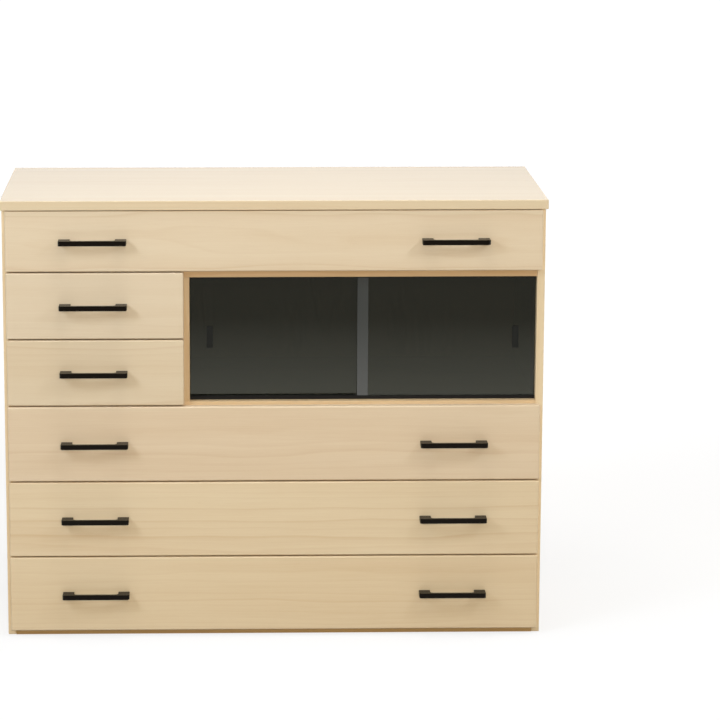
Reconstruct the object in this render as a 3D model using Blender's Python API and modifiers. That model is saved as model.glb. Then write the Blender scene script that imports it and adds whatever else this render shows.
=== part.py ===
"""Tea cabinet: a low chest of six drawers with a pair of sliding smoked-glass doors.

Metres, +Z up, front towards -Y. The origin is on the floor, under the middle of the overall
box, handles included. Boards are housed in stopped grooves of the sides, drawers are
dovetailed boxes that run on the boards, and the glass slides in double-groove tracks,
the upper one let into the shelf above.
"""
import math

import bmesh
import bpy

# Top board and side panels
TOP_WIDTH = 1.050
TOP_DEPTH = 0.445
TOP_THICKNESS = 0.018
TOP_OVERHANG = 0.0025
SIDE_THICKNESS = 0.015
WOOD_EDGE = 0.0012

# Boards between the drawers, divider, base and back
SHELF_THICKNESS = 0.018
SMALL_SHELF_THICKNESS = 0.015
BOTTOM_THICKNESS = 0.015
DIVIDER_THICKNESS = 0.015
SMALL_BAY_WIDTH = 0.329
BASE_RAIL_HEIGHT = 0.024
BASE_RAIL_THICKNESS = 0.018
BACK_THICKNESS = 0.004
BACK_INSET = 0.008
BACK_LIFT = 0.012

# Joinery: stopped housings, dowels and the space left in every joint
HOUSING_DEPTH = 0.005
HOUSING_STOP = 0.012
DOWEL_DIAMETER = 0.008
DOWEL_RISE = 0.011
DOWEL_ROOT = 0.020
DOWEL_MARGIN = 0.060
DOWELS_PER_SIDE = 3
JOINT_CLEARANCE = 0.0003
CUT_PAST = 0.002

# Drawer fronts
FRONT_THICKNESS = 0.018
FRONT_SETBACK = 0.003
FRONT_GAP = 0.001
FRONT_SPACE = 0.0025
TOP_FRONT_SPACE = 0.0015
FRONT_EDGE = 0.0025
FRONT_EDGE_STEPS = 3
FRONT_SIDE_LAP = 0.008
FRONT_DIVIDER_LAP = 0.004
FLOOR_SPACE = 0.013
LARGE_FRONT_HEIGHT = 0.148
SMALL_FRONT_HEIGHT = 0.129
TOP_FRONT_HEIGHT = 0.118
BOARD_ABOVE_FRONT_EDGE = 0.0035

# Drawer boxes
DRAWER_SIDE_THICKNESS = 0.012
DRAWER_BACK_THICKNESS = 0.010
DRAWER_BOTTOM_THICKNESS = 0.004
DRAWER_SIDE_GAP = 0.0015
DRAWER_HEADROOM = 0.014
DRAWER_REAR_GAP = 0.0125
DRAWER_BOTTOM_RISE = 0.008
DRAWER_GROOVE_DEPTH = 0.005
DRAWER_BACK_INSET = 0.008
DRAWER_BACK_DROP = 0.005
TAIL_LENGTH = 0.012
TAIL_PITCH = 0.028
TAIL_SHARE = 0.6
TAIL_TOP_MARGIN = 0.004
TAIL_SLOPE = 1 / 6

# Bow handles
HANDLE_LENGTH = 0.130
HANDLE_HEIGHT = 0.0095
HANDLE_REACH = 0.027
HANDLE_BAR = 0.008
HANDLE_LEG = 0.022
HANDLE_FILLET = 0.006
HANDLE_END_CHAMFER = 0.003
HANDLE_EDGE = 0.0008
HANDLE_FROM_FRONT_END = 0.1675
FILLET_STEPS = 5

# Sliding glass doors and their tracks
GLASS_THICKNESS = 0.005
GLASS_OVERLAP = 0.021
GLASS_END_GAP = 0.0005
GLASS_EDGE = 0.0006
TRACK_SETBACK = 0.015
TRACK_LIP = 0.0028
TRACK_PLAY = 0.0004
LOWER_TRACK_HEIGHT = 0.006
LOWER_GROOVE_DEPTH = 0.003
UPPER_TRACK_HEIGHT = 0.010
UPPER_GROOVE_DEPTH = 0.0075
UPPER_ENGAGEMENT = 0.004
UPPER_TRACK_LET_IN = 0.006
PULL_WIDTH = 0.012
PULL_HEIGHT = 0.043
PULL_THICKNESS = 0.0016
PULL_RIM = 0.0012
PULL_HOLLOW = 0.0007
PULL_FROM_EDGE = 0.0385
STRIP_THICKNESS = 0.0008
STRIP_EDGE = 0.0003

# Places across the width
SIDE_OUTER = TOP_WIDTH / 2 - TOP_OVERHANG
SIDE_INNER = SIDE_OUTER - SIDE_THICKNESS
DIVIDER_LEFT = -SIDE_INNER + SMALL_BAY_WIDTH
DIVIDER_RIGHT = DIVIDER_LEFT + DIVIDER_THICKNESS
FRONT_SIDE = SIDE_INNER + FRONT_SIDE_LAP
HANDLE_COLUMN = FRONT_SIDE - HANDLE_FROM_FRONT_END

# Places from front to back
HANDLE_PAST_TOP = HANDLE_REACH - FRONT_SETBACK
TOP_FRONT = (HANDLE_PAST_TOP - TOP_DEPTH) / 2
TOP_BACK = TOP_FRONT + TOP_DEPTH
FRONT_FACE = TOP_FRONT + FRONT_SETBACK
FRONT_REAR = FRONT_FACE + FRONT_THICKNESS
CARCASS_FRONT = FRONT_REAR + FRONT_GAP
BACK_REAR = TOP_BACK - BACK_INSET
BACK_FACE = BACK_REAR - BACK_THICKNESS
BOARD_REAR = BACK_FACE - JOINT_CLEARANCE
DRAWER_REAR = BACK_FACE - DRAWER_REAR_GAP
TRACK_FRONT = CARCASS_FRONT + TRACK_SETBACK
TRACK_GROOVE = GLASS_THICKNESS + 2 * TRACK_PLAY
TRACK_WIDTH = 3 * TRACK_LIP + 2 * TRACK_GROOVE

# Places up the front: rows of fronts from the floor to the underside of the top
ROW_HEIGHTS = {
    "lower_large_drawer": LARGE_FRONT_HEIGHT,
    "middle_large_drawer": LARGE_FRONT_HEIGHT,
    "upper_large_drawer": LARGE_FRONT_HEIGHT,
    "lower_small_drawer": SMALL_FRONT_HEIGHT,
    "upper_small_drawer": SMALL_FRONT_HEIGHT,
    "top_drawer": TOP_FRONT_HEIGHT,
}
FRONT_LOW = {}
row_low = FLOOR_SPACE
for row_name, row_height in ROW_HEIGHTS.items():
    FRONT_LOW[row_name] = row_low
    row_low += row_height + FRONT_SPACE
TOP_UNDER = FRONT_LOW["top_drawer"] + TOP_FRONT_HEIGHT + TOP_FRONT_SPACE
CABINET_HEIGHT = TOP_UNDER + TOP_THICKNESS

# Boards: upper face, thickness and right-hand end of the bay that each one spans
BOARD_TOP = {name: low + BOARD_ABOVE_FRONT_EDGE for name, low in FRONT_LOW.items()}
BOARD_TOP["lower_large_drawer"] = BASE_RAIL_HEIGHT + JOINT_CLEARANCE + BOTTOM_THICKNESS
BOARDS = {
    "bottom_board": (BOARD_TOP["lower_large_drawer"], BOTTOM_THICKNESS, SIDE_INNER),
    "lower_dust_board": (BOARD_TOP["middle_large_drawer"], SHELF_THICKNESS, SIDE_INNER),
    "upper_dust_board": (BOARD_TOP["upper_large_drawer"], SHELF_THICKNESS, SIDE_INNER),
    "middle_shelf": (BOARD_TOP["lower_small_drawer"], SHELF_THICKNESS, SIDE_INNER),
    "small_drawer_shelf": (BOARD_TOP["upper_small_drawer"], SMALL_SHELF_THICKNESS, DIVIDER_LEFT),
    "upper_shelf": (BOARD_TOP["top_drawer"], SHELF_THICKNESS, SIDE_INNER),
}
BAY_FLOOR = BOARD_TOP["lower_small_drawer"]
BAY_ROOF = BOARD_TOP["top_drawer"] - SHELF_THICKNESS

# Turns a flat outline drawn in (Y, Z) into the world, with its thickness along X
UPRIGHT = (math.pi / 2, 0.0, math.pi / 2)


def clear_scene():
    """Remove the objects that a new file starts with."""
    for old in list(bpy.data.objects):
        bpy.data.objects.remove(old, do_unlink=True)


def new_collection(name):
    """Add a collection to the scene."""
    collection = bpy.data.collections.new(name)
    bpy.context.scene.collection.children.link(collection)
    return collection


def new_material(name, colour, roughness, metallic=0.0, alpha=1.0):
    """Make a Principled material with one plain finish."""
    material = bpy.data.materials.new(name)
    material.use_nodes = True
    shader = material.node_tree.nodes["Principled BSDF"]
    shader.inputs["Base Color"].default_value = (*colour, 1.0)
    shader.inputs["Roughness"].default_value = roughness
    shader.inputs["Metallic"].default_value = metallic
    shader.inputs["Alpha"].default_value = alpha
    return material


clear_scene()
PARTS = new_collection("tea_cabinet")
CUTTERS = new_collection("cutters")
PALE_WOOD = new_material("pale_wood", (0.74, 0.60, 0.41), 0.42)
DRAWER_WOOD = new_material("drawer_wood", (0.72, 0.60, 0.44), 0.60)
PLYWOOD = new_material("plywood", (0.66, 0.52, 0.35), 0.60)
BLACK_METAL = new_material("black_metal", (0.012, 0.011, 0.010), 0.38, metallic=0.6)
BLACK_PLASTIC = new_material("black_plastic", (0.012, 0.012, 0.012), 0.45)
GREY_PLASTIC = new_material("grey_plastic", (0.055, 0.055, 0.052), 0.35)
SMOKED_GLASS = new_material("smoked_glass", (0.025, 0.025, 0.022), 0.03, alpha=0.55)


def add_part(name, mesh, finish, parent=None):
    """Put a mesh in the cabinet as one named piece, with its finish and its carrier."""
    piece = bpy.data.objects.new(name, mesh)
    PARTS.objects.link(piece)
    if not mesh.materials:
        mesh.materials.append(finish)
    piece.parent = parent
    return piece


def add_cutter(name, mesh):
    """Put a mesh among the cutters, which only shape other pieces."""
    cutter = bpy.data.objects.new(name, mesh)
    CUTTERS.objects.link(cutter)
    cutter.hide_render = True
    cutter.display_type = "WIRE"
    return cutter


def slide_origin(name, place):
    """Add the empty that carries one sliding body, on the line that it slides along."""
    carrier = bpy.data.objects.new(name, None)
    carrier.location = place
    PARTS.objects.link(carrier)
    return carrier


def seat(piece, place):
    """Set a piece's world place, whether or not a sliding body carries it."""
    offset = piece.parent.location if piece.parent else (0.0, 0.0, 0.0)
    piece.location = [whole - part for whole, part in zip(place, offset)]


def middle(low, high):
    """Give the point halfway between two corners."""
    return [(a + b) / 2 for a, b in zip(low, high)]


def grown(low, high, margin=JOINT_CLEARANCE):
    """Give the corners of a box that is larger by a margin on every side."""
    return [a - margin for a in low], [b + margin for b in high]


def box_mesh(name, boxes, centre):
    """Make a mesh of one or more boxes, each between two world corners, about a centre."""
    shape = bmesh.new()
    for low, high in boxes:
        made = bmesh.ops.create_cube(shape, size=1.0)
        size = [b - a for a, b in zip(low, high)]
        bmesh.ops.scale(shape, vec=size, verts=made["verts"])
        offset = [a - b for a, b in zip(middle(low, high), centre)]
        bmesh.ops.translate(shape, vec=offset, verts=made["verts"])
    mesh = bpy.data.meshes.new(name)
    shape.to_mesh(mesh)
    shape.free()
    return mesh


def box_part(name, low, high, finish, edge=0.0, parent=None):
    """Add a board between two world corners, with its edges eased."""
    centre = middle(low, high)
    piece = add_part(name, box_mesh(name, [(low, high)], centre), finish, parent)
    seat(piece, centre)
    ease(piece, edge)
    return piece


def box_cutter(name, boxes):
    """Add a cutter made of boxes between world corners."""
    return add_cutter(name, box_mesh(name, boxes, (0.0, 0.0, 0.0)))


def outline_mesh(name, outlines, thickness):
    """Make a plate of one thickness from closed outlines, each with a single face on either side."""
    curve = bpy.data.curves.new(name, "CURVE")
    curve.dimensions = "2D"
    curve.fill_mode = "NONE"
    curve.extrude = thickness / 2
    for points in outlines:
        spline = curve.splines.new("POLY")
        spline.points.add(len(points) - 1)
        for point, (across, up) in zip(spline.points, points):
            point.co = (across, up, 0.0, 1.0)
        spline.use_cyclic_u = True
    plate = bpy.data.objects.new(name, curve)
    CUTTERS.objects.link(plate)
    evaluated = plate.evaluated_get(bpy.context.evaluated_depsgraph_get())
    mesh = bpy.data.meshes.new_from_object(evaluated)
    bpy.data.objects.remove(plate, do_unlink=True)
    shape = bmesh.new()
    shape.from_mesh(mesh)
    bmesh.ops.remove_doubles(shape, verts=shape.verts, dist=0.00001)
    bmesh.ops.holes_fill(shape, edges=shape.edges, sides=0)
    bmesh.ops.recalc_face_normals(shape, faces=shape.faces)
    shape.to_mesh(mesh)
    shape.free()
    mesh.name = name
    return mesh


def ease(piece, width, segments=2):
    """Round the sharp edges of a piece."""
    if width <= 0.0:
        return
    bevel = piece.modifiers.new("eased edges", "BEVEL")
    bevel.width = width
    bevel.segments = segments
    bevel.limit_method = "ANGLE"
    bevel.angle_limit = math.radians(40)


def cut(piece, cutter, operation="DIFFERENCE"):
    """Cut a piece with a cutter, or join the cutter to it."""
    boolean = piece.modifiers.new(cutter.name, "BOOLEAN")
    boolean.operation = operation
    boolean.solver = "EXACT"
    boolean.object = cutter


def dowel_cutter(name, x, diameter, low, high):
    """Add the row of dowels that stand in the top edge of one side panel."""
    first = CARCASS_FRONT + DOWEL_MARGIN
    last = BOARD_REAR - DOWEL_MARGIN
    shape = bmesh.new()
    for index in range(DOWELS_PER_SIDE):
        made = bmesh.ops.create_cone(
            shape, cap_ends=True, segments=16, radius1=diameter / 2, radius2=diameter / 2, depth=high - low)
        y = first + (last - first) * index / max(DOWELS_PER_SIDE - 1, 1)
        bmesh.ops.translate(shape, vec=(x, y, (low + high) / 2), verts=made["verts"])
    mesh = bpy.data.meshes.new(name)
    shape.to_mesh(mesh)
    shape.free()
    return add_cutter(name, mesh)


def tongue_outline(front, rear, left, right):
    """Outline of a board with a stopped tongue at each end, in (X, Y)."""
    shoulder = front + HOUSING_STOP
    return [
        (left + HOUSING_DEPTH, front),
        (right - HOUSING_DEPTH, front),
        (right - HOUSING_DEPTH, shoulder),
        (right, shoulder),
        (right, rear),
        (left, rear),
        (left, shoulder),
        (left + HOUSING_DEPTH, shoulder),
    ]


def board_span(right_face):
    """Ends of a board's tongues, a joint clearance short of the bottoms of their housings."""
    reach = HOUSING_DEPTH - JOINT_CLEARANCE
    return -SIDE_INNER - reach, right_face + reach


def build_boards():
    """Add the boards and give the cutter of their housings in each upright."""
    housings = {"left": [], "right": [], "divider": []}
    boards = {}
    for name, (top, thickness, right_face) in BOARDS.items():
        left, right = board_span(right_face)
        outline = tongue_outline(CARCASS_FRONT, BOARD_REAR, left, right)
        boards[name] = add_part(name, outline_mesh(name, [outline], thickness), PALE_WOOD)
        boards[name].location.z = top - thickness / 2
        low = [left, CARCASS_FRONT + HOUSING_STOP, top - thickness]
        high = [right, BOARD_REAR, top]
        low, high = grown(low, high)
        housings["left"].append((low, [-SIDE_INNER + CUT_PAST, high[1], high[2]]))
        end = "right" if right_face == SIDE_INNER else "divider"
        housings[end].append(([right_face - CUT_PAST, low[1], low[2]], high))
    return boards, {end: box_cutter(f"{end}_housings", boxes) for end, boxes in housings.items()}


def build_divider(boards, housing):
    """Add the upright between the small drawers and the glass, housed in the two shelves."""
    reach = HOUSING_DEPTH - JOINT_CLEARANCE
    low = [DIVIDER_LEFT, CARCASS_FRONT, BAY_FLOOR - reach]
    high = [DIVIDER_RIGHT, BOARD_REAR, BAY_ROOF + reach]
    outline = [(across, up) for up, across in tongue_outline(low[1], high[1], low[2], high[2])]
    mesh = outline_mesh("divider", [outline], DIVIDER_THICKNESS)
    divider = add_part("divider", mesh, PALE_WOOD)
    divider.rotation_euler = UPRIGHT
    divider.location.x = (DIVIDER_LEFT + DIVIDER_RIGHT) / 2
    cut(divider, housing)
    low[1] += HOUSING_STOP
    socket = box_cutter("divider_sockets", [grown(low, high)])
    cut(boards["middle_shelf"], socket)
    cut(boards["upper_shelf"], socket)


def build_carcass():
    """Add the top, sides, boards, divider, base rails and back, and give the boards by name."""
    boards, housings = build_boards()
    build_divider(boards, housings["divider"])

    back_side = SIDE_INNER + HOUSING_DEPTH - JOINT_CLEARANCE
    back_low = [-back_side, BACK_FACE, BACK_LIFT]
    back_high = [back_side, BACK_REAR, TOP_UNDER + HOUSING_DEPTH - JOINT_CLEARANCE]
    box_part("back_panel", back_low, back_high, PLYWOOD)
    back_groove = box_cutter("back_groove", [grown(back_low, back_high)])

    half = TOP_WIDTH / 2
    top = box_part("top_board", [-half, TOP_FRONT, TOP_UNDER], [half, TOP_BACK, CABINET_HEIGHT],
                   PALE_WOOD, WOOD_EDGE)
    cut(top, back_groove)
    panel_top = TOP_UNDER - JOINT_CLEARANCE
    dowel_x = (SIDE_INNER + SIDE_OUTER) / 2
    hole_diameter = DOWEL_DIAMETER + 2 * JOINT_CLEARANCE
    dowel_top = panel_top + DOWEL_RISE
    for name, sign in (("left", -1), ("right", 1)):
        inner, outer = sorted((sign * SIDE_INNER, sign * SIDE_OUTER))
        panel = box_part(f"{name}_side_panel", [inner, CARCASS_FRONT, 0.0], [outer, TOP_BACK, panel_top],
                         PALE_WOOD, WOOD_EDGE)
        cut(panel, housings[name])
        cut(panel, back_groove)
        dowels = dowel_cutter(f"{name}_dowels", sign * dowel_x, DOWEL_DIAMETER,
                              panel_top - DOWEL_ROOT, dowel_top)
        cut(panel, dowels, "UNION")
        holes = dowel_cutter(f"{name}_dowel_holes", sign * dowel_x, hole_diameter,
                             TOP_UNDER - CUT_PAST, dowel_top + JOINT_CLEARANCE)
        cut(top, holes)

    rail_side = SIDE_INNER - JOINT_CLEARANCE
    for name, front in (("front", CARCASS_FRONT), ("rear", BOARD_REAR - BASE_RAIL_THICKNESS)):
        box_part(f"{name}_base_rail", [-rail_side, front, 0.0],
                 [rail_side, front + BASE_RAIL_THICKNESS, BASE_RAIL_HEIGHT], PALE_WOOD)
    return boards


def tail_centres(low, high):
    """Heights of the middles of the dovetails, up from the one that hides the bottom's groove."""
    first = low + DRAWER_BOTTOM_RISE + DRAWER_BOTTOM_THICKNESS / 2
    space = high - TAIL_TOP_MARGIN - TAIL_PITCH * TAIL_SHARE / 2 - first
    count = int(space / TAIL_PITCH) + 1
    return [first + TAIL_PITCH * index for index in range(count)]


def tail_points(centre, root, tip, margin=0.0):
    """One dovetail in (Y, Z), from its root's lower corner round its tip to its upper one."""
    half_tip = TAIL_PITCH * TAIL_SHARE / 2 + margin
    half_root = half_tip - (root - tip) * TAIL_SLOPE
    return [
        (root, centre - half_root),
        (tip, centre - half_tip),
        (tip, centre + half_tip),
        (root, centre + half_root),
    ]


def drawer_side_outline(low, high):
    """Outline of a drawer side in (Y, Z), with dovetails along its front end."""
    shoulder = FRONT_REAR + JOINT_CLEARANCE
    tip = FRONT_REAR - TAIL_LENGTH + JOINT_CLEARANCE
    outline = [(DRAWER_REAR, high), (DRAWER_REAR, low), (shoulder, low)]
    for centre in tail_centres(low, high):
        outline += tail_points(centre, shoulder, tip)
    outline.append((shoulder, high))
    return outline


def socket_outlines(low, high):
    """Outlines of the sockets that the dovetails fill, in (Y, Z)."""
    mouth = FRONT_REAR + CUT_PAST
    bottom = FRONT_REAR - TAIL_LENGTH
    return [tail_points(centre, mouth, bottom, JOINT_CLEARANCE) for centre in tail_centres(low, high)]


def build_drawer(name, bay, front_ends, ceiling, handle_places):
    """Add one drawer: front, two sides, back, bottom and its handles, on one sliding carrier."""
    front_low = FRONT_LOW[name]
    front_high = front_low + ROW_HEIGHTS[name]
    left = bay[0] + DRAWER_SIDE_GAP
    right = bay[1] - DRAWER_SIDE_GAP
    low = BOARD_TOP[name] + JOINT_CLEARANCE
    high = ceiling - DRAWER_HEADROOM
    carrier = slide_origin(f"{name}_slide", ((left + right) / 2, FRONT_FACE, (front_low + front_high) / 2))

    front = box_part(f"{name}_front", [front_ends[0], FRONT_FACE, front_low],
                     [front_ends[1], FRONT_REAR, front_high], PALE_WOOD, parent=carrier)
    ease(front, FRONT_EDGE, FRONT_EDGE_STEPS)

    tongue = DRAWER_GROOVE_DEPTH - JOINT_CLEARANCE
    inner_left = left + DRAWER_SIDE_THICKNESS
    inner_right = right - DRAWER_SIDE_THICKNESS
    back_rear = DRAWER_REAR - DRAWER_BACK_INSET
    bottom_low = [inner_left - tongue, FRONT_REAR - tongue, low + DRAWER_BOTTOM_RISE]
    bottom_high = [inner_right + tongue, back_rear, bottom_low[2] + DRAWER_BOTTOM_THICKNESS]
    box_part(f"{name}_bottom", bottom_low, bottom_high, PLYWOOD, parent=carrier)
    groove_low, groove_high = grown(bottom_low, bottom_high)
    groove_high[1] = DRAWER_REAR + CUT_PAST
    groove = box_cutter(f"{name}_bottom_groove", [(groove_low, groove_high)])
    cut(front, groove)

    back_low = [inner_left - tongue, back_rear - DRAWER_BACK_THICKNESS, bottom_high[2] + JOINT_CLEARANCE]
    back_high = [inner_right + tongue, back_rear, high - DRAWER_BACK_DROP]
    box_part(f"{name}_back", back_low, back_high, DRAWER_WOOD, parent=carrier)
    slot_low, slot_high = grown(back_low, back_high)
    slot_high[2] = high + CUT_PAST
    slot = box_cutter(f"{name}_back_housing", [(slot_low, slot_high)])

    socket_thickness = DRAWER_SIDE_THICKNESS + 2 * JOINT_CLEARANCE
    for hand, outer in (("left", left), ("right", right - DRAWER_SIDE_THICKNESS)):
        centre = outer + DRAWER_SIDE_THICKNESS / 2
        node = f"{name}_{hand}_side"
        mesh = outline_mesh(node, [drawer_side_outline(low, high)], DRAWER_SIDE_THICKNESS)
        side = add_part(node, mesh, DRAWER_WOOD, carrier)
        side.rotation_euler = UPRIGHT
        seat(side, (centre, 0.0, 0.0))
        cut(side, groove)
        cut(side, slot)
        sockets = add_cutter(f"{node}_sockets", outline_mesh(f"{node}_sockets", socket_outlines(low, high),
                                                             socket_thickness))
        sockets.rotation_euler = UPRIGHT
        sockets.location.x = centre
        cut(front, sockets)

    for handle_name, x in handle_places.items():
        handle = add_part(handle_name, HANDLE_MESH, BLACK_METAL, carrier)
        seat(handle, (x, FRONT_FACE, (front_low + front_high) / 2))


def handle_outline():
    """Plan of a bow handle in (X, Y), its feet a joint clearance off the front."""
    half = HANDLE_LENGTH / 2
    foot = -JOINT_CLEARANCE
    face = -HANDLE_REACH
    bar_rear = face + HANDLE_BAR
    leg_inner = half - HANDLE_LEG
    centre = (leg_inner - HANDLE_FILLET, bar_rear + HANDLE_FILLET)
    right_half = [
        (half - HANDLE_END_CHAMFER, face),
        (half, face + HANDLE_END_CHAMFER),
        (half, foot),
        (leg_inner, foot),
    ]
    for step in range(FILLET_STEPS + 1):
        angle = -math.pi / 2 * step / FILLET_STEPS
        x = centre[0] + HANDLE_FILLET * math.cos(angle)
        y = centre[1] + HANDLE_FILLET * math.sin(angle)
        right_half.append((x, y))
    left_half = [(-x, y) for x, y in reversed(right_half)]
    return right_half + left_half


def eased_handle_mesh():
    """Make the mesh that all the handles share."""
    draft = bpy.data.objects.new("handle", outline_mesh("handle_plan", [handle_outline()], HANDLE_HEIGHT))
    CUTTERS.objects.link(draft)
    ease(draft, HANDLE_EDGE)
    mesh = bpy.data.meshes.new_from_object(draft.evaluated_get(bpy.context.evaluated_depsgraph_get()))
    bpy.data.objects.remove(draft, do_unlink=True)
    mesh.name = "bow_handle"
    return mesh


def build_drawers():
    """Add the six drawers, each in its bay under the board above it."""
    full_bay = (-SIDE_INNER, SIDE_INNER)
    small_bay = (-SIDE_INNER, DIVIDER_LEFT)
    full_front = (-FRONT_SIDE, FRONT_SIDE)
    small_front = (-FRONT_SIDE, DIVIDER_LEFT + FRONT_DIVIDER_LAP)
    board_under = {name: top - thickness for name, (top, thickness, _) in BOARDS.items()}
    for name, ceiling in (
        ("lower_large_drawer", board_under["lower_dust_board"]),
        ("middle_large_drawer", board_under["upper_dust_board"]),
        ("upper_large_drawer", board_under["middle_shelf"]),
        ("top_drawer", TOP_UNDER),
    ):
        handles = {f"{name}_left_handle": -HANDLE_COLUMN, f"{name}_right_handle": HANDLE_COLUMN}
        build_drawer(name, full_bay, full_front, ceiling, handles)
    for name, ceiling in (
        ("lower_small_drawer", board_under["small_drawer_shelf"]),
        ("upper_small_drawer", board_under["upper_shelf"]),
    ):
        build_drawer(name, small_bay, small_front, ceiling, {f"{name}_handle": -HANDLE_COLUMN})


def track_outline(height, groove_depth, mouth_up):
    """Section of a double-groove track in (Y, Z), from its front lip back, mouth up or down."""
    steps = [TRACK_LIP, TRACK_GROOVE, TRACK_LIP, TRACK_GROOVE, TRACK_LIP]
    outline = [(0.0, 0.0)]
    across = 0.0
    for index, step in enumerate(steps):
        level = height - groove_depth if index % 2 else height
        outline.append((across, level))
        across += step
        outline.append((across, level))
    outline.append((across, 0.0))
    if mouth_up:
        return outline
    return [(y, -z) for y, z in reversed(outline)]


def build_track(name, height, groove_depth, seat_z, mouth_up):
    """Add one track across the glass bay, fixed to the shelf at its level."""
    length = SIDE_INNER - DIVIDER_RIGHT - 2 * JOINT_CLEARANCE
    mesh = outline_mesh(name, [track_outline(height, groove_depth, mouth_up)], length)
    track = add_part(name, mesh, BLACK_PLASTIC)
    track.rotation_euler = UPRIGHT
    track.location = ((DIVIDER_RIGHT + SIDE_INNER) / 2, TRACK_FRONT, seat_z)


def build_door(name, left, right, front, low, high, pull_x):
    """Add one glass door with a finger pull on its face, and give the carrier that they slide on."""
    carrier = slide_origin(f"{name}_glass_slide", (pull_x, front, (BAY_FLOOR + BAY_ROOF) / 2))
    box_part(f"{name}_glass_door", [left, front, low], [right, front + GLASS_THICKNESS, high],
             SMOKED_GLASS, GLASS_EDGE, carrier)
    pull_middle = (BAY_FLOOR + BAY_ROOF) / 2
    pull_back = front - JOINT_CLEARANCE
    pull_low = [pull_x - PULL_WIDTH / 2, pull_back - PULL_THICKNESS, pull_middle - PULL_HEIGHT / 2]
    pull_high = [pull_x + PULL_WIDTH / 2, pull_back, pull_middle + PULL_HEIGHT / 2]
    pull = box_part(f"{name}_door_pull", pull_low, pull_high, BLACK_PLASTIC, parent=carrier)
    hollow_low, hollow_high = grown(pull_low, pull_high, -PULL_RIM)
    hollow_low[1] = pull_low[1] - CUT_PAST
    hollow_high[1] = pull_low[1] + PULL_HOLLOW
    hollow = box_cutter(f"{name}_pull_hollow", [(hollow_low, hollow_high)])
    hollow.parent = carrier
    hollow.location = [-part for part in carrier.location]
    cut(pull, hollow)
    return carrier


def build_glass(upper_shelf):
    """Add the tracks, the two doors, the right one running in front, and the strip where they meet."""
    lower_seat = BAY_FLOOR + JOINT_CLEARANCE
    upper_seat = BAY_ROOF + UPPER_TRACK_LET_IN - JOINT_CLEARANCE
    build_track("lower_track", LOWER_TRACK_HEIGHT, LOWER_GROOVE_DEPTH, lower_seat, True)
    build_track("upper_track", UPPER_TRACK_HEIGHT, UPPER_GROOVE_DEPTH, upper_seat, False)
    bed_low = [DIVIDER_RIGHT, TRACK_FRONT - JOINT_CLEARANCE, BAY_ROOF - CUT_PAST]
    bed_high = [SIDE_INNER, TRACK_FRONT + TRACK_WIDTH + JOINT_CLEARANCE, BAY_ROOF + UPPER_TRACK_LET_IN]
    cut(upper_shelf, box_cutter("upper_track_bed", [(bed_low, bed_high)]))
    left_end = DIVIDER_RIGHT + GLASS_END_GAP
    right_end = SIDE_INNER - GLASS_END_GAP
    door_width = (right_end - left_end + GLASS_OVERLAP) / 2
    low = lower_seat + LOWER_TRACK_HEIGHT - LOWER_GROOVE_DEPTH + JOINT_CLEARANCE
    high = upper_seat - UPPER_TRACK_HEIGHT + UPPER_ENGAGEMENT
    front_groove = TRACK_FRONT + TRACK_LIP + TRACK_PLAY
    groove_pitch = TRACK_GROOVE + TRACK_LIP
    right_carrier = build_door("right", right_end - door_width, right_end, front_groove, low, high,
                               right_end - PULL_FROM_EDGE)
    build_door("left", left_end, left_end + door_width, front_groove + groove_pitch, low, high,
               left_end + PULL_FROM_EDGE)
    strip_back = front_groove - JOINT_CLEARANCE
    strip_low = lower_seat + LOWER_TRACK_HEIGHT + JOINT_CLEARANCE
    strip_high = upper_seat - UPPER_TRACK_HEIGHT - JOINT_CLEARANCE
    box_part("meeting_strip", [right_end - door_width, strip_back - STRIP_THICKNESS, strip_low],
             [right_end - door_width + GLASS_OVERLAP, strip_back, strip_high],
             GREY_PLASTIC, STRIP_EDGE, right_carrier)


HANDLE_MESH = eased_handle_mesh()
carcass_boards = build_carcass()
build_drawers()
build_glass(carcass_boards["upper_shelf"])
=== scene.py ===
"""Looks of the tea cabinet: a pale maple chest of drawers with sliding smoked-glass doors.

Metres, +Z up, front towards -Y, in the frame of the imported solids.
"""
import math

import bmesh
import bpy
from mathutils import Euler, Matrix, Vector


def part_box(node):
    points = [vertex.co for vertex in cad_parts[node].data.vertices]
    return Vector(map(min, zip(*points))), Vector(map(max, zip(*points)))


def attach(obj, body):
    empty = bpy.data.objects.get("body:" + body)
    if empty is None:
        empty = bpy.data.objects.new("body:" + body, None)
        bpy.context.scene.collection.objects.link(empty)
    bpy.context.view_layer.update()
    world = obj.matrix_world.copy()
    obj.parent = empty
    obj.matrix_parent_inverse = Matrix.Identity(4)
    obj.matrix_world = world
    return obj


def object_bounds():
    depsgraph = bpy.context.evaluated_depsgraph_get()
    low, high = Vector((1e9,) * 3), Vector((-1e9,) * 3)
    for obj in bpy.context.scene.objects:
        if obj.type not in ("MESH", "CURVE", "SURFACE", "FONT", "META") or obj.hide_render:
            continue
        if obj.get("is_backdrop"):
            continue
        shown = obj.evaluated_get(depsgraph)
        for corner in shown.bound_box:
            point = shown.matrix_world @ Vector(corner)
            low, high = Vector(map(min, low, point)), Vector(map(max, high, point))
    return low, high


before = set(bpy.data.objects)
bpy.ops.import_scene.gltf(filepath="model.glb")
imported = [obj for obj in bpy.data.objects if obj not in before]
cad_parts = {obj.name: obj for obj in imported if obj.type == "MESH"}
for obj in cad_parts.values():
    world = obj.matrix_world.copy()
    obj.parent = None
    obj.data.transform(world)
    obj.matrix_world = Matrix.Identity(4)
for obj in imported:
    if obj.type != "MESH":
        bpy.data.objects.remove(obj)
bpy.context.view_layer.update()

# Side panels: glued-up maple boards that run upright from the floor to the top, planed, sanded
# and sprayed with clear satin lacquer. The shelves are glued into housings in their inner faces.
UPRIGHT_GRAIN = (0.0, math.pi / 2, 0.0)
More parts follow.
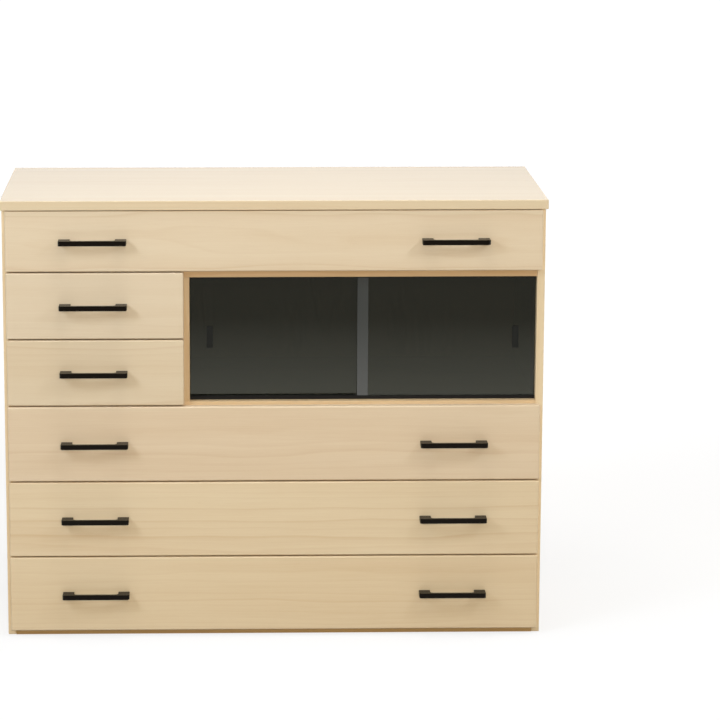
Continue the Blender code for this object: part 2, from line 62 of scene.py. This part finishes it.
# Their tones are set paler than the fronts' to stand for light on their front edges, which are set back in
# the fronts' shade: painted light over the wood's own tone.
PALE_MAPLE_PAINTED_LIGHT = "#EAD5AF"
DARK_MAPLE_PAINTED_LIGHT = "#D0AD7C"


def linear(code):
    """Turn an sRGB hex colour into linear RGBA."""
    shares = [int(code[i:i + 2], 16) / 255 for i in (1, 3, 5)]
    return (*[s / 12.92 if s <= 0.04045 else ((s + 0.055) / 1.055) ** 2.4 for s in shares], 1.0)


def add(tree, kind, inputs, **settings):
    """Add a shader node with its settings, and give each input a value or a link."""
    node = tree.nodes.new(f"ShaderNode{kind}")
    for key, value in settings.items():
        setattr(node, key, value)
    for socket, value in inputs.items():
        if isinstance(value, bpy.types.NodeSocket):
            tree.links.new(value, node.inputs[socket])
        else:
            node.inputs[socket].default_value = value
    return node.outputs[0]


def new_material(name):
    """Start a material, and give its node tree and its Principled shader's inputs."""
    material = bpy.data.materials.new(name)
    material.use_nodes = True
    return material, material.node_tree, material.node_tree.nodes["Principled BSDF"].inputs


def dress(material, *names):
    """Put a material on CAD nodes."""
    for name in names:
        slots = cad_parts[name].data.materials
        slots.clear()
        slots.append(material)


def wood(name, turn, heart, pale, dark, ring_mm=8.0, ring=0.30, wander=0.018, roughness=0.40, coat=0.0,
         relief=0.25):
    """Sawn solid wood: year rings about a heart that runs along the grain, under fibres and bands.

    turn brings the grain to X, and heart is the place of the tree's centre in that frame. ring is how
    dark the late wood of a year is, wander how far the rings stray, in metres, and relief how much the
    fibres show in the surface. Ring lines and fibres of pale hardwood are finer than a pixel, so they
    are drawn a few times coarser.
    """
    material, tree, shader = new_material(name)
    place = add(tree, "TexCoord", {}).node.outputs["Object"]
    place = add(tree, "Mapping", {"Vector": place, "Rotation": turn, "Location": [-c for c in heart]})

    def streaks(length_mm, width_mm, detail):
        """Noise drawn out along the grain, from 0 to 1."""
        scale = (1000 / length_mm, 1000 / width_mm, 1000 / width_mm)
        drawn = add(tree, "VectorMath", {0: place, 1: scale}, operation="MULTIPLY")
        return add(tree, "TexNoise", {"Vector": drawn, "Scale": 1.0, "Detail": detail, "Roughness": 0.55})

    across = add(tree, "VectorMath", {0: place, 1: (0.0, 1.0, 1.0)}, operation="MULTIPLY")
    radius = add(tree, "VectorMath", {0: across}, operation="LENGTH").node.outputs["Value"]
    radius = add(tree, "Math", {0: streaks(420, 70, 2.0), 1: wander, 2: radius}, operation="MULTIPLY_ADD")
    count = add(tree, "Math", {0: radius, 1: 1000 / ring_mm}, operation="MULTIPLY")
    phase = add(tree, "Math", {0: count}, operation="FRACT")
    late = add(tree, "ValToRGB", {"Fac": phase})
    stops = late.node.color_ramp.elements
    stops[0].color = stops[1].color = (0.0, 0.0, 0.0, 1.0)
    for position, level in ((0.55, 0.25), (0.86, 1.0)):
        stops.new(position).color = (level, level, level, 1.0)
    year = add(tree, "Math", {0: count}, operation="FLOOR")
    strength = add(tree, "TexWhiteNoise", {"W": year}, noise_dimensions="1D").node.outputs["Value"]
    rings = add(tree, "Math", {0: late, 1: strength}, operation="MULTIPLY")

    fibres = streaks(90, 1.8, 3.0)
    depth = add(tree, "Math", {0: rings, 1: ring}, operation="MULTIPLY")
    depth = add(tree, "Math", {0: fibres, 1: 0.30, 2: depth}, operation="MULTIPLY_ADD")
    depth = add(tree, "Math", {0: streaks(800, 38, 2.0), 1: 0.45, 2: depth}, operation="MULTIPLY_ADD")
    fleck = add(tree, "MapRange", {"Value": streaks(14, 1.6, 1.0), "From Min": 0.66, "From Max": 0.80})
    depth = add(tree, "Math", {0: fleck, 1: 0.10, 2: depth}, operation="MULTIPLY_ADD")
    depth = add(tree, "Math", {0: depth, 1: 0.12}, operation="SUBTRACT", use_clamp=True)
    colour = add(tree, "Mix", {"Factor": depth, "A": linear(pale), "B": linear(dark)}, data_type="RGBA")
    tree.links.new(colour.node.outputs["Result"], shader["Base Color"])
    rough = add(tree, "Math", {0: fibres, 1: relief / 2, 2: roughness - relief / 4}, operation="MULTIPLY_ADD")
    tree.links.new(rough, shader["Roughness"])
    pores = add(tree, "Bump", {"Height": fibres, "Distance": 0.00008, "Strength": relief})
    tree.links.new(pores, shader["Normal"])
    shader["IOR"].default_value = 1.5
    shader["Coat Weight"].default_value = coat
    shader["Coat Roughness"].default_value = 0.18
    return material


dress(wood("maple_left_side", UPRIGHT_GRAIN, (0.2, 0.05, 0.46), PALE_MAPLE_PAINTED_LIGHT, DARK_MAPLE_PAINTED_LIGHT), "left_side_panel")
dress(wood("maple_right_side", UPRIGHT_GRAIN, (1.7, -0.03, -0.58), PALE_MAPLE_PAINTED_LIGHT, DARK_MAPLE_PAINTED_LIGHT),
      "right_side_panel")

# Shelves and dust boards: maple boards across the cabinet, glued into housings of the sides. The upper
# shelf's browner, darker tone is painted shade, standing for the shade that the top drawer's front casts
# on its front edge. The drawers run on their upper faces, and the front edges of two of them show above
# and below the glass doors.
LENGTHWAYS = (0.0, 0.0, 0.0)
dress(wood("maple_upper_shelf_painted_shade", LENGTHWAYS, (1.9, 0.30, 0.9), "#D6B384", "#BC8F55"), "upper_shelf")
dress(wood("maple_shelves", LENGTHWAYS, (0.4, 0.30, 0.9), "#E0C59C", "#C69F69"),
      "small_drawer_shelf", "middle_shelf", "upper_dust_board", "lower_dust_board", "bottom_board")

# Base rails: two maple strips between the sides, under the bottom board. The front one is set back behind
# the lowest drawer, in its shade, and their dark brown tone is painted shade that deepens it into a dark
# line above the floor.
dress(wood("maple_base_painted_shade", LENGTHWAYS, (2.3, 0.10, -0.16), "#BE9A60", "#A57C42"),
      "front_base_rail", "rear_base_rail")

# Divider: an upright maple board between the small drawers and the glass doors, housed in the
# shelves above and below it.
# Its tone is set darker and browner than the shelves' to stand for the shade of the small drawers' fronts
# beside its front edge: painted shade.
dress(wood("maple_divider_painted_shade", UPRIGHT_GRAIN, (0.9, 0.2, 0.25), "#D8BB91", "#BD955E"), "divider")

# Back: thin rotary-cut plywood in grooves of the sides and the top, pinned to the rear edges of the
# shelves. Rotary cutting lays the year rings almost flat, so its figure is broad and wandering.
PIN_HEAD = 0.0055
PIN_RISE = 0.0009
PIN_ROWS = ("upper_shelf", "middle_shelf", "upper_dust_board", "lower_dust_board", "bottom_board")
PIN_COLUMNS = 6
PIN_MARGIN = 0.03
PIN_STEPS = 16
PATCH_MM = 1.6
dress(wood("plywood_back", UPRIGHT_GRAIN, (0.5, -2.3, 0.1), "#D8BE95", "#B9935F", ring_mm=12.0, ring=0.42,
           wander=0.12, roughness=0.58), "back_panel")


def blued_steel():
    """Blued steel: dark brown-black metal with a soft sheen, its uneven patches drawn coarse to show."""
    material, tree, shader = new_material("blued_steel")
    place = add(tree, "TexCoord", {}).node.outputs["Object"]
    patches = add(tree, "TexNoise", {"Vector": place, "Scale": 1000 / PATCH_MM, "Detail": 2.0})
    colour = add(tree, "Mix", {"Factor": patches, "A": linear("#3A3735"), "B": linear("#55504B")},
                 data_type="RGBA")
    tree.links.new(colour.node.outputs["Result"], shader["Base Color"])
    rough = add(tree, "MapRange", {"Value": patches, "To Min": 0.32, "To Max": 0.48})
    tree.links.new(rough, shader["Roughness"])
    shader["Metallic"].default_value = 1.0
    return material


STEEL = blued_steel()


def finish_piece(name, shape, material, body):
    """Turn a bmesh into a piece that rides on a body and takes its finish from a slot."""
    bmesh.ops.remove_doubles(shape, verts=shape.verts, dist=0.00001)
    bmesh.ops.recalc_face_normals(shape, faces=shape.faces)
    mesh = bpy.data.meshes.new(name)
    shape.to_mesh(mesh)
    shape.free()
    mesh.materials.append(material)
    piece = bpy.data.objects.new(name, mesh)
    bpy.context.scene.collection.objects.link(piece)
    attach(piece, body)
    return piece


def pin_head(shape, place):
    """Add the low domed head of a panel pin, its face towards +Y."""
    outline = [(0.0, 0.0), (PIN_HEAD / 2, 0.0), (PIN_HEAD / 2, PIN_RISE * 0.4),
               (PIN_HEAD * 0.34, PIN_RISE * 0.85), (0.0, PIN_RISE)]
    verts = [shape.verts.new((place.x + r, place.y + h, place.z)) for r, h in outline]
    edges = [shape.edges.new(pair) for pair in zip(verts, verts[1:])]
    bmesh.ops.spin(shape, geom=verts + edges, cent=place, axis=(0, 1, 0), angle=2 * math.pi,
                   steps=PIN_STEPS, use_merge=True)


pins = bmesh.new()
panel_low, panel_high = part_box("back_panel")
for row in PIN_ROWS:
    low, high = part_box(row)
    for column in range(PIN_COLUMNS):
        share = column / (PIN_COLUMNS - 1)
        x = panel_low.x + PIN_MARGIN + (panel_high.x - panel_low.x - 2 * PIN_MARGIN) * share
        pin_head(pins, Vector((x, panel_high.y, (low.z + high.z) / 2)))
finish_piece("back_panel_pins", pins, STEEL, "cabinet")

# Top: one wide maple board, doweled to the sides, its edges eased. Its thicker lacquer fills the
# pores and mirrors the pale room at a low angle, so it looks smoother and whiter than the fronts.
dress(wood("maple_top", LENGTHWAYS, (0.1, 0.05, 0.79), "#DCC7A3", "#CFB28A", ring=0.22,
           roughness=0.26, coat=0.45, relief=0.06), "top_board")

# Tracks: extruded black plastic with two grooves each, let into the upper shelf and laid on the
# middle shelf. Extrusion leaves faint lines along them on a dull surface.
DRAWN_LINE_MM = (80.0, 1.1, 1.1)


def black_plastic(name, dark, pale):
    """Black polystyrene: dull and even, with fine lines along the extrusion drawn coarse enough to show."""
    material, tree, shader = new_material(name)
    place = add(tree, "TexCoord", {}).node.outputs["Object"]
    scale = [1000 / mm for mm in DRAWN_LINE_MM]
    drawn = add(tree, "VectorMath", {0: place, 1: scale}, operation="MULTIPLY")
    lines = add(tree, "TexNoise", {"Vector": drawn, "Scale": 1.0, "Detail": 2.0})
    colour = add(tree, "Mix", {"Factor": lines, "A": linear(dark), "B": linear(pale)}, data_type="RGBA")
    tree.links.new(colour.node.outputs["Result"], shader["Base Color"])
    rough = add(tree, "MapRange", {"Value": lines, "To Min": 0.55, "To Max": 0.70})
    tree.links.new(rough, shader["Roughness"])
    relief = add(tree, "Bump", {"Height": lines, "Distance": 0.00005, "Strength": 0.3})
    tree.links.new(relief, shader["Normal"])
    shader["IOR"].default_value = 1.55
    shader["Specular IOR Level"].default_value = 0.2
    return material


dress(black_plastic("black_polystyrene", "#090806", "#110F0D"), "upper_track", "lower_track")

# Glass doors: two panes of 5 mm grey smoked float glass with ground edges, sliding past each other.
# Each lets about a third of the light through, so the inside shows only where light falls on it, and
# both of its faces mirror, so the shine is twice that of one face.
WAVE_MM = 110.0


def smoked_glass():
    """Smoked float glass: polished and near black, with a faint wave of the float bath in its mirror."""
    material, tree, shader = new_material("smoked_float_glass")
    place = add(tree, "TexCoord", {}).node.outputs["Object"]
    wave = add(tree, "TexNoise", {"Vector": place, "Scale": 1000 / WAVE_MM, "Detail": 1.0})
    colour = add(tree, "Mix", {"Factor": wave, "A": linear("#0B0D06"), "B": linear("#0F110A")},
                 data_type="RGBA")
    tree.links.new(colour.node.outputs["Result"], shader["Base Color"])
    relief = add(tree, "Bump", {"Height": wave, "Distance": 0.0004, "Strength": 0.2})
    tree.links.new(relief, shader["Normal"])
    shader["Roughness"].default_value = 0.03
    shader["IOR"].default_value = 1.52
    shader["Specular IOR Level"].default_value = 1.0
    shader["Specular Tint"].default_value = linear("#F4F6E4")
    shader["Alpha"].default_value = 0.68
    return material


dress(smoked_glass(), "left_glass_door", "right_glass_door")

# Door fittings: a moulded smoke-black finger pull is stuck on each pane near its outer edge, and a
# glossy grey plastic strip on the front pane covers the edge where the two panes meet.
UPRIGHT_LINE_MM = (1.1, 1.1, 80.0)


def grey_plastic():
    """Grey vinyl: glossy, with coarsely drawn extrusion lines, paler than glass because it scatters light."""
    material, tree, shader = new_material("grey_vinyl")
    place = add(tree, "TexCoord", {}).node.outputs["Object"]
    scale = [1000 / mm for mm in UPRIGHT_LINE_MM]
    drawn = add(tree, "VectorMath", {0: place, 1: scale}, operation="MULTIPLY")
    lines = add(tree, "TexNoise", {"Vector": drawn, "Scale": 1.0, "Detail": 2.0})
    colour = add(tree, "Mix", {"Factor": lines, "A": linear("#32332E"), "B": linear("#393A35")},
                 data_type="RGBA")
    tree.links.new(colour.node.outputs["Result"], shader["Base Color"])
    rough = add(tree, "MapRange", {"Value": lines, "To Min": 0.06, "To Max": 0.12})
    tree.links.new(rough, shader["Roughness"])
    shader["IOR"].default_value = 1.53
    shader["Specular IOR Level"].default_value = 1.0
    return material


dress(black_plastic("smoked_polystyrene", "#0B0C07", "#10110B"), "left_door_pull", "right_door_pull")
dress(grey_plastic(), "meeting_strip")

# Drawer boxes: light paulownia sides and backs, planed and left bare, dovetailed to the fronts, with
# thin plywood bottoms in grooves.
DRAWERS = ("top_drawer", "upper_small_drawer", "lower_small_drawer",
           "upper_large_drawer", "middle_large_drawer", "lower_large_drawer")
FRONT_TO_BACK = (0.0, 0.0, -math.pi / 2)
paulownia_side = wood("paulownia_sides", FRONT_TO_BACK, (0.3, 0.1, -0.4), "#DECDB0", "#BD9F76", ring_mm=9.0,
                      ring=0.5, roughness=0.62)
paulownia_back = wood("paulownia_backs", LENGTHWAYS, (0.7, 0.3, -0.4), "#DECDB0", "#BD9F76", ring_mm=9.0,
                      ring=0.5, roughness=0.62)
plywood_bottom = wood("plywood_bottoms", LENGTHWAYS, (0.5, 0.1, -0.31), "#DBC39B", "#BE9965", ring_mm=16.0,
                      ring=0.42, roughness=0.58)
for drawer in DRAWERS:
    dress(paulownia_side, f"{drawer}_left_side", f"{drawer}_right_side")
    dress(paulownia_back, f"{drawer}_back")
    dress(plywood_bottom, f"{drawer}_bottom")

# Drawer fronts: 18 mm maple boards with eased edges, each cut from its own plank, so each has its own
# heart, pale and dark tone, and wander of the rings. The three large fronts are set paler than the top
# and small ones to make up for the light falling off towards the floor: painted light over each plank's
# own tone. Where the heart lies near the face, the rings make long arches.
FRONT_PLANKS_AND_PAINTED_LIGHT = {
    "top_drawer": ((0.00, -0.13, 0.79), "#DFCCAD", "#C6A57B", 0.034),
    "upper_small_drawer": ((1.40, -0.05, 0.70), "#DFCDAF", "#C7A881", 0.020),
    "lower_small_drawer": ((2.90, -0.06, 0.45), "#DECBAB", "#C5A57B", 0.020),
    "upper_large_drawer": ((4.10, -0.03, 0.46), "#E2CDAD", "#C8A57C", 0.016),
    "middle_large_drawer": ((5.70, -0.10, 0.15), "#E5D1AD", "#CAA678", 0.014),
    "lower_large_drawer": ((7.20, -0.06, 0.20), "#E4CFAA", "#C9A576", 0.022),
}
for drawer, (heart, pale, dark, wander) in FRONT_PLANKS_AND_PAINTED_LIGHT.items():
    plank = wood(f"maple_{drawer}_front", LENGTHWAYS, heart, pale, dark, wander=wander)
    dress(plank, f"{drawer}_front")

# Handles: flat steel bows, bent and coated with matt black baked enamel. Each is held by two screws
# through the front, whose button heads sit inside the drawer.
SCREW_HEAD = 0.0095
SCREW_RISE = 0.0026
SCREW_SOCKET = 0.0052
SCREW_INSET = 0.011
PEEL_MM = 1.4


def black_enamel():
    """Baked black enamel: brown-black with little shine, the orange peel of sprayed paint drawn coarser."""
    material, tree, shader = new_material("black_baked_enamel")
    place = add(tree, "TexCoord", {}).node.outputs["Object"]
    peel = add(tree, "TexNoise", {"Vector": place, "Scale": 1000 / PEEL_MM, "Detail": 1.0})
    colour = add(tree, "Mix", {"Factor": peel, "A": linear("#0E0904"), "B": linear("#140E07")},
                 data_type="RGBA")
    tree.links.new(colour.node.outputs["Result"], shader["Base Color"])
    rough = add(tree, "MapRange", {"Value": peel, "To Min": 0.22, "To Max": 0.30})
    tree.links.new(rough, shader["Roughness"])
    relief = add(tree, "Bump", {"Height": peel, "Distance": 0.00004, "Strength": 0.3})
    tree.links.new(relief, shader["Normal"])
    shader["IOR"].default_value = 1.5
    shader["Specular IOR Level"].default_value = 0.08
    return material


def button_screw(shape, place):
    """Add a button-head screw with a hexagon socket, its head towards +Y."""
    turn = Matrix.Translation(place) @ Matrix.Rotation(-math.pi / 2, 4, "X")
    ring = bmesh.ops.create_circle(shape, cap_ends=True, radius=SCREW_HEAD / 2, segments=24)["verts"]
    edges = list({edge for vert in ring for edge in vert.link_edges})
    for radius, rise in ((0.5, 0.25), (0.46, 0.6), (0.38, 0.88), (0.32, 1.0)):
        made = bmesh.ops.extrude_edge_only(shape, edges=edges)["geom"]
        verts = [g for g in made if isinstance(g, bmesh.types.BMVert)]
        edges = [g for g in made if isinstance(g, bmesh.types.BMEdge)]
        scale = radius * SCREW_HEAD / Vector(verts[0].co.xy).length
        bmesh.ops.scale(shape, vec=(scale, scale, 1.0), verts=verts)
        bmesh.ops.translate(shape, vec=(0, 0, rise * SCREW_RISE - verts[0].co.z), verts=verts)
        ring += verts
    socket = bmesh.ops.create_circle(shape, cap_ends=False, radius=SCREW_SOCKET / 2, segments=6)["verts"]
    bmesh.ops.translate(shape, vec=(0, 0, SCREW_RISE), verts=socket)
    socket_edges = list({edge for vert in socket for edge in vert.link_edges})
    bmesh.ops.bridge_loops(shape, edges=edges + socket_edges)
    made = bmesh.ops.extrude_edge_only(shape, edges=socket_edges)["geom"]
    floor_verts = [g for g in made if isinstance(g, bmesh.types.BMVert)]
    bmesh.ops.translate(shape, vec=(0, 0, -0.6 * SCREW_RISE), verts=floor_verts)
    bmesh.ops.contextual_create(shape, geom=[g for g in made if isinstance(g, bmesh.types.BMEdge)])
    bmesh.ops.transform(shape, matrix=turn, verts=ring + socket + floor_verts)


ENAMEL = black_enamel()
for drawer in DRAWERS:
    screws = bmesh.new()
    inner_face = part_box(f"{drawer}_front")[1].y
    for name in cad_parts:
        if name.startswith(drawer) and name.endswith("_handle"):
            dress(ENAMEL, name)
            low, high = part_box(name)
            for x in (low.x + SCREW_INSET, high.x - SCREW_INSET):
                button_screw(screws, Vector((x, inner_face, (low.z + high.z) / 2)))
    finish_piece(f"{drawer}_handle_screws", screws, STEEL, drawer)

# Floor and room: a white paper sweep that keeps a soft shadow near the base, in a pale warm room. The
# eye, mirrors and glass see them white, apart from the darker half of the room in front of the doors,
# which the glass mirrors. For the light that they give, the floor is grey and the room dim.
FLOOR_HALF = 30.0
PAPER = (0.82, 0.82, 0.82, 1.0)
FLOOR_BOUNCE = (0.40, 0.40, 0.40, 1.0)
FLOOR_WHITE = 1.06
FLOOR_DIM = 0.31
WHITE_NEAR = 0.72
SHADOW_FROM = 1.1
SHADOW_TO = 2.6
DIM_FROM = 2.0
DARK_AT = 3.3
ROOM_LIGHT = 0.33
ROOM_TINT = (1.0, 0.93, 0.82, 1.0)
ROOM_DIM = 0.30
WHITE = (1.0, 1.0, 1.0, 1.0)


def seen_directly(tree):
    """1 for rays that show the room itself, by sight, mirror or glass, and 0 for those that light things."""
    path = add(tree, "LightPath", {}).node.outputs
    seen = add(tree, "Math", {0: path["Is Camera Ray"], 1: path["Is Glossy Ray"]}, operation="MAXIMUM")
    return add(tree, "Math", {0: seen, 1: path["Is Transmission Ray"]}, operation="MAXIMUM")


sweep = bmesh.new()
bmesh.ops.create_grid(sweep, x_segments=1, y_segments=1, size=FLOOR_HALF)
floor_mesh = bpy.data.meshes.new("floor")
sweep.to_mesh(floor_mesh)
sweep.free()
floor = bpy.data.objects.new("floor", floor_mesh)
bpy.context.scene.collection.objects.link(floor)
floor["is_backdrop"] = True
paper, tree, shader = new_material("white_paper_floor")
shader["Base Color"].default_value = PAPER
shader["Roughness"].default_value = 0.9
shader["Specular IOR Level"].default_value = 0.0
lit = tree.nodes["Principled BSDF"].outputs[0]
place = add(tree, "TexCoord", {}).node.outputs["Object"]
depth = add(tree, "SeparateXYZ", {"Vector": place}).node.outputs["Y"]
dim = add(tree, "MapRange", {"Value": depth, "From Min": -DARK_AT, "From Max": -DIM_FROM,
                             "To Min": FLOOR_DIM, "To Max": FLOOR_WHITE})
mirrored = add(tree, "LightPath", {}).node.outputs["Is Glossy Ray"]
strength = add(tree, "Mix", {"Factor": mirrored, "A": FLOOR_WHITE, "B": dim}, data_type="FLOAT")
glow = add(tree, "Emission", {"Color": WHITE, "Strength": strength})
reach = add(tree, "VectorMath", {0: place}, operation="LENGTH").node.outputs["Value"]
far = add(tree, "MapRange", {"Value": reach, "From Min": SHADOW_FROM, "From Max": SHADOW_TO,
                             "To Min": WHITE_NEAR}, interpolation_type="SMOOTHSTEP")
white = add(tree, "MixShader", {0: far, 1: lit, 2: glow})
bounce = add(tree, "BsdfDiffuse", {"Color": FLOOR_BOUNCE})
surface = add(tree, "MixShader", {0: seen_directly(tree), 1: bounce, 2: white})
tree.links.new(surface, tree.nodes["Material Output"].inputs["Surface"])
floor_mesh.materials.append(paper)

room = bpy.data.worlds.new("pale_room")
room.use_nodes = True
bpy.context.scene.world = room
tree = room.node_tree
heading = add(tree, "TexCoord", {}).node.outputs["Generated"]
heading = add(tree, "SeparateXYZ", {"Vector": heading}).node.outputs["Y"]
dim = add(tree, "MapRange", {"Value": heading, "From Min": -0.6, "From Max": 0.0, "To Min": ROOM_DIM})
mirrored = add(tree, "LightPath", {}).node.outputs["Is Glossy Ray"]
white = add(tree, "Mix", {"Factor": mirrored, "A": 1.0, "B": dim}, data_type="FLOAT")
seen = seen_directly(tree)
level = add(tree, "Mix", {"Factor": seen, "A": ROOM_LIGHT, "B": white}, data_type="FLOAT")
tree.links.new(level, tree.nodes["Background"].inputs["Strength"])
tint = add(tree, "Mix", {"Factor": seen, "A": ROOM_TINT, "B": WHITE}, data_type="RGBA")
tree.links.new(tint.node.outputs["Result"], tree.nodes["Background"].inputs["Color"])

# Studio lamps: a warm fill far in front lights the fronts, and two cool boxes, left and right, give the
# handles their faint shadows. The others light the top, the back and the two sides. Each is given by its
# place, its size in metres, its power in watts and its colour.
LAMPS = {
    "left_soft_box": ((-1.65, -1.67, 1.86), 0.85, 27.0, (0.68, 0.81, 1.0)),
    "right_soft_box": ((1.35, -1.20, 1.83), 0.30, 10.0, (0.72, 0.84, 1.0)),
    "overhead_soft_box": ((0.0, -0.40, 2.50), 0.9, 20.0, (1.0, 1.0, 1.0)),
    "front_fill": ((0.05, -4.60, 1.58), 0.35, 73.0, (1.0, 0.93, 0.80)),
    "rear_soft_box": ((0.40, 2.00, 0.55), 0.6, 11.0, (1.0, 1.0, 1.0)),
    "left_side_box": ((-2.40, 0.30, 0.80), 0.8, 8.0, (1.0, 0.93, 0.82)),
    "right_side_box": ((2.40, 0.30, 0.80), 0.8, 13.5, (1.0, 0.96, 0.90)),
}
LAMP_AIM = Vector((0.0, -0.20, 0.50))
for name, (position, size, power, colour) in LAMPS.items():
    data = bpy.data.lights.new(name, "AREA")
    data.size = size
    data.energy = power
    data.color = colour
    lamp = bpy.data.objects.new(name, data)
    lamp.location = position
    lamp.rotation_euler = (LAMP_AIM - lamp.location).to_track_quat("-Z", "Y").to_euler()
    bpy.context.scene.collection.objects.link(lamp)

# Camera: a long lens in front of the cabinet and above it, looking down and a little to the right. A
# small shift sets the cabinet left of the middle.
CAMERA_PLACE = (-0.105, -5.70, 1.733)
CAMERA_DOWN = math.radians(10.70)
CAMERA_RIGHT = math.radians(1.08)
lens = bpy.data.cameras.new("camera")
lens.lens = 145.6
lens.shift_x = 0.12
lens.shift_y = -0.10
lens.clip_end = 200.0
camera = bpy.data.objects.new("camera", lens)
camera.location = CAMERA_PLACE
camera.rotation_euler = Euler((math.pi / 2 - CAMERA_DOWN, 0.0, -CAMERA_RIGHT))
bpy.context.scene.collection.objects.link(camera)
bpy.context.scene.camera = camera
bpy.context.scene.view_settings.view_transform = "Standard"

bpy.context.view_layer.update()
low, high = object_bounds()
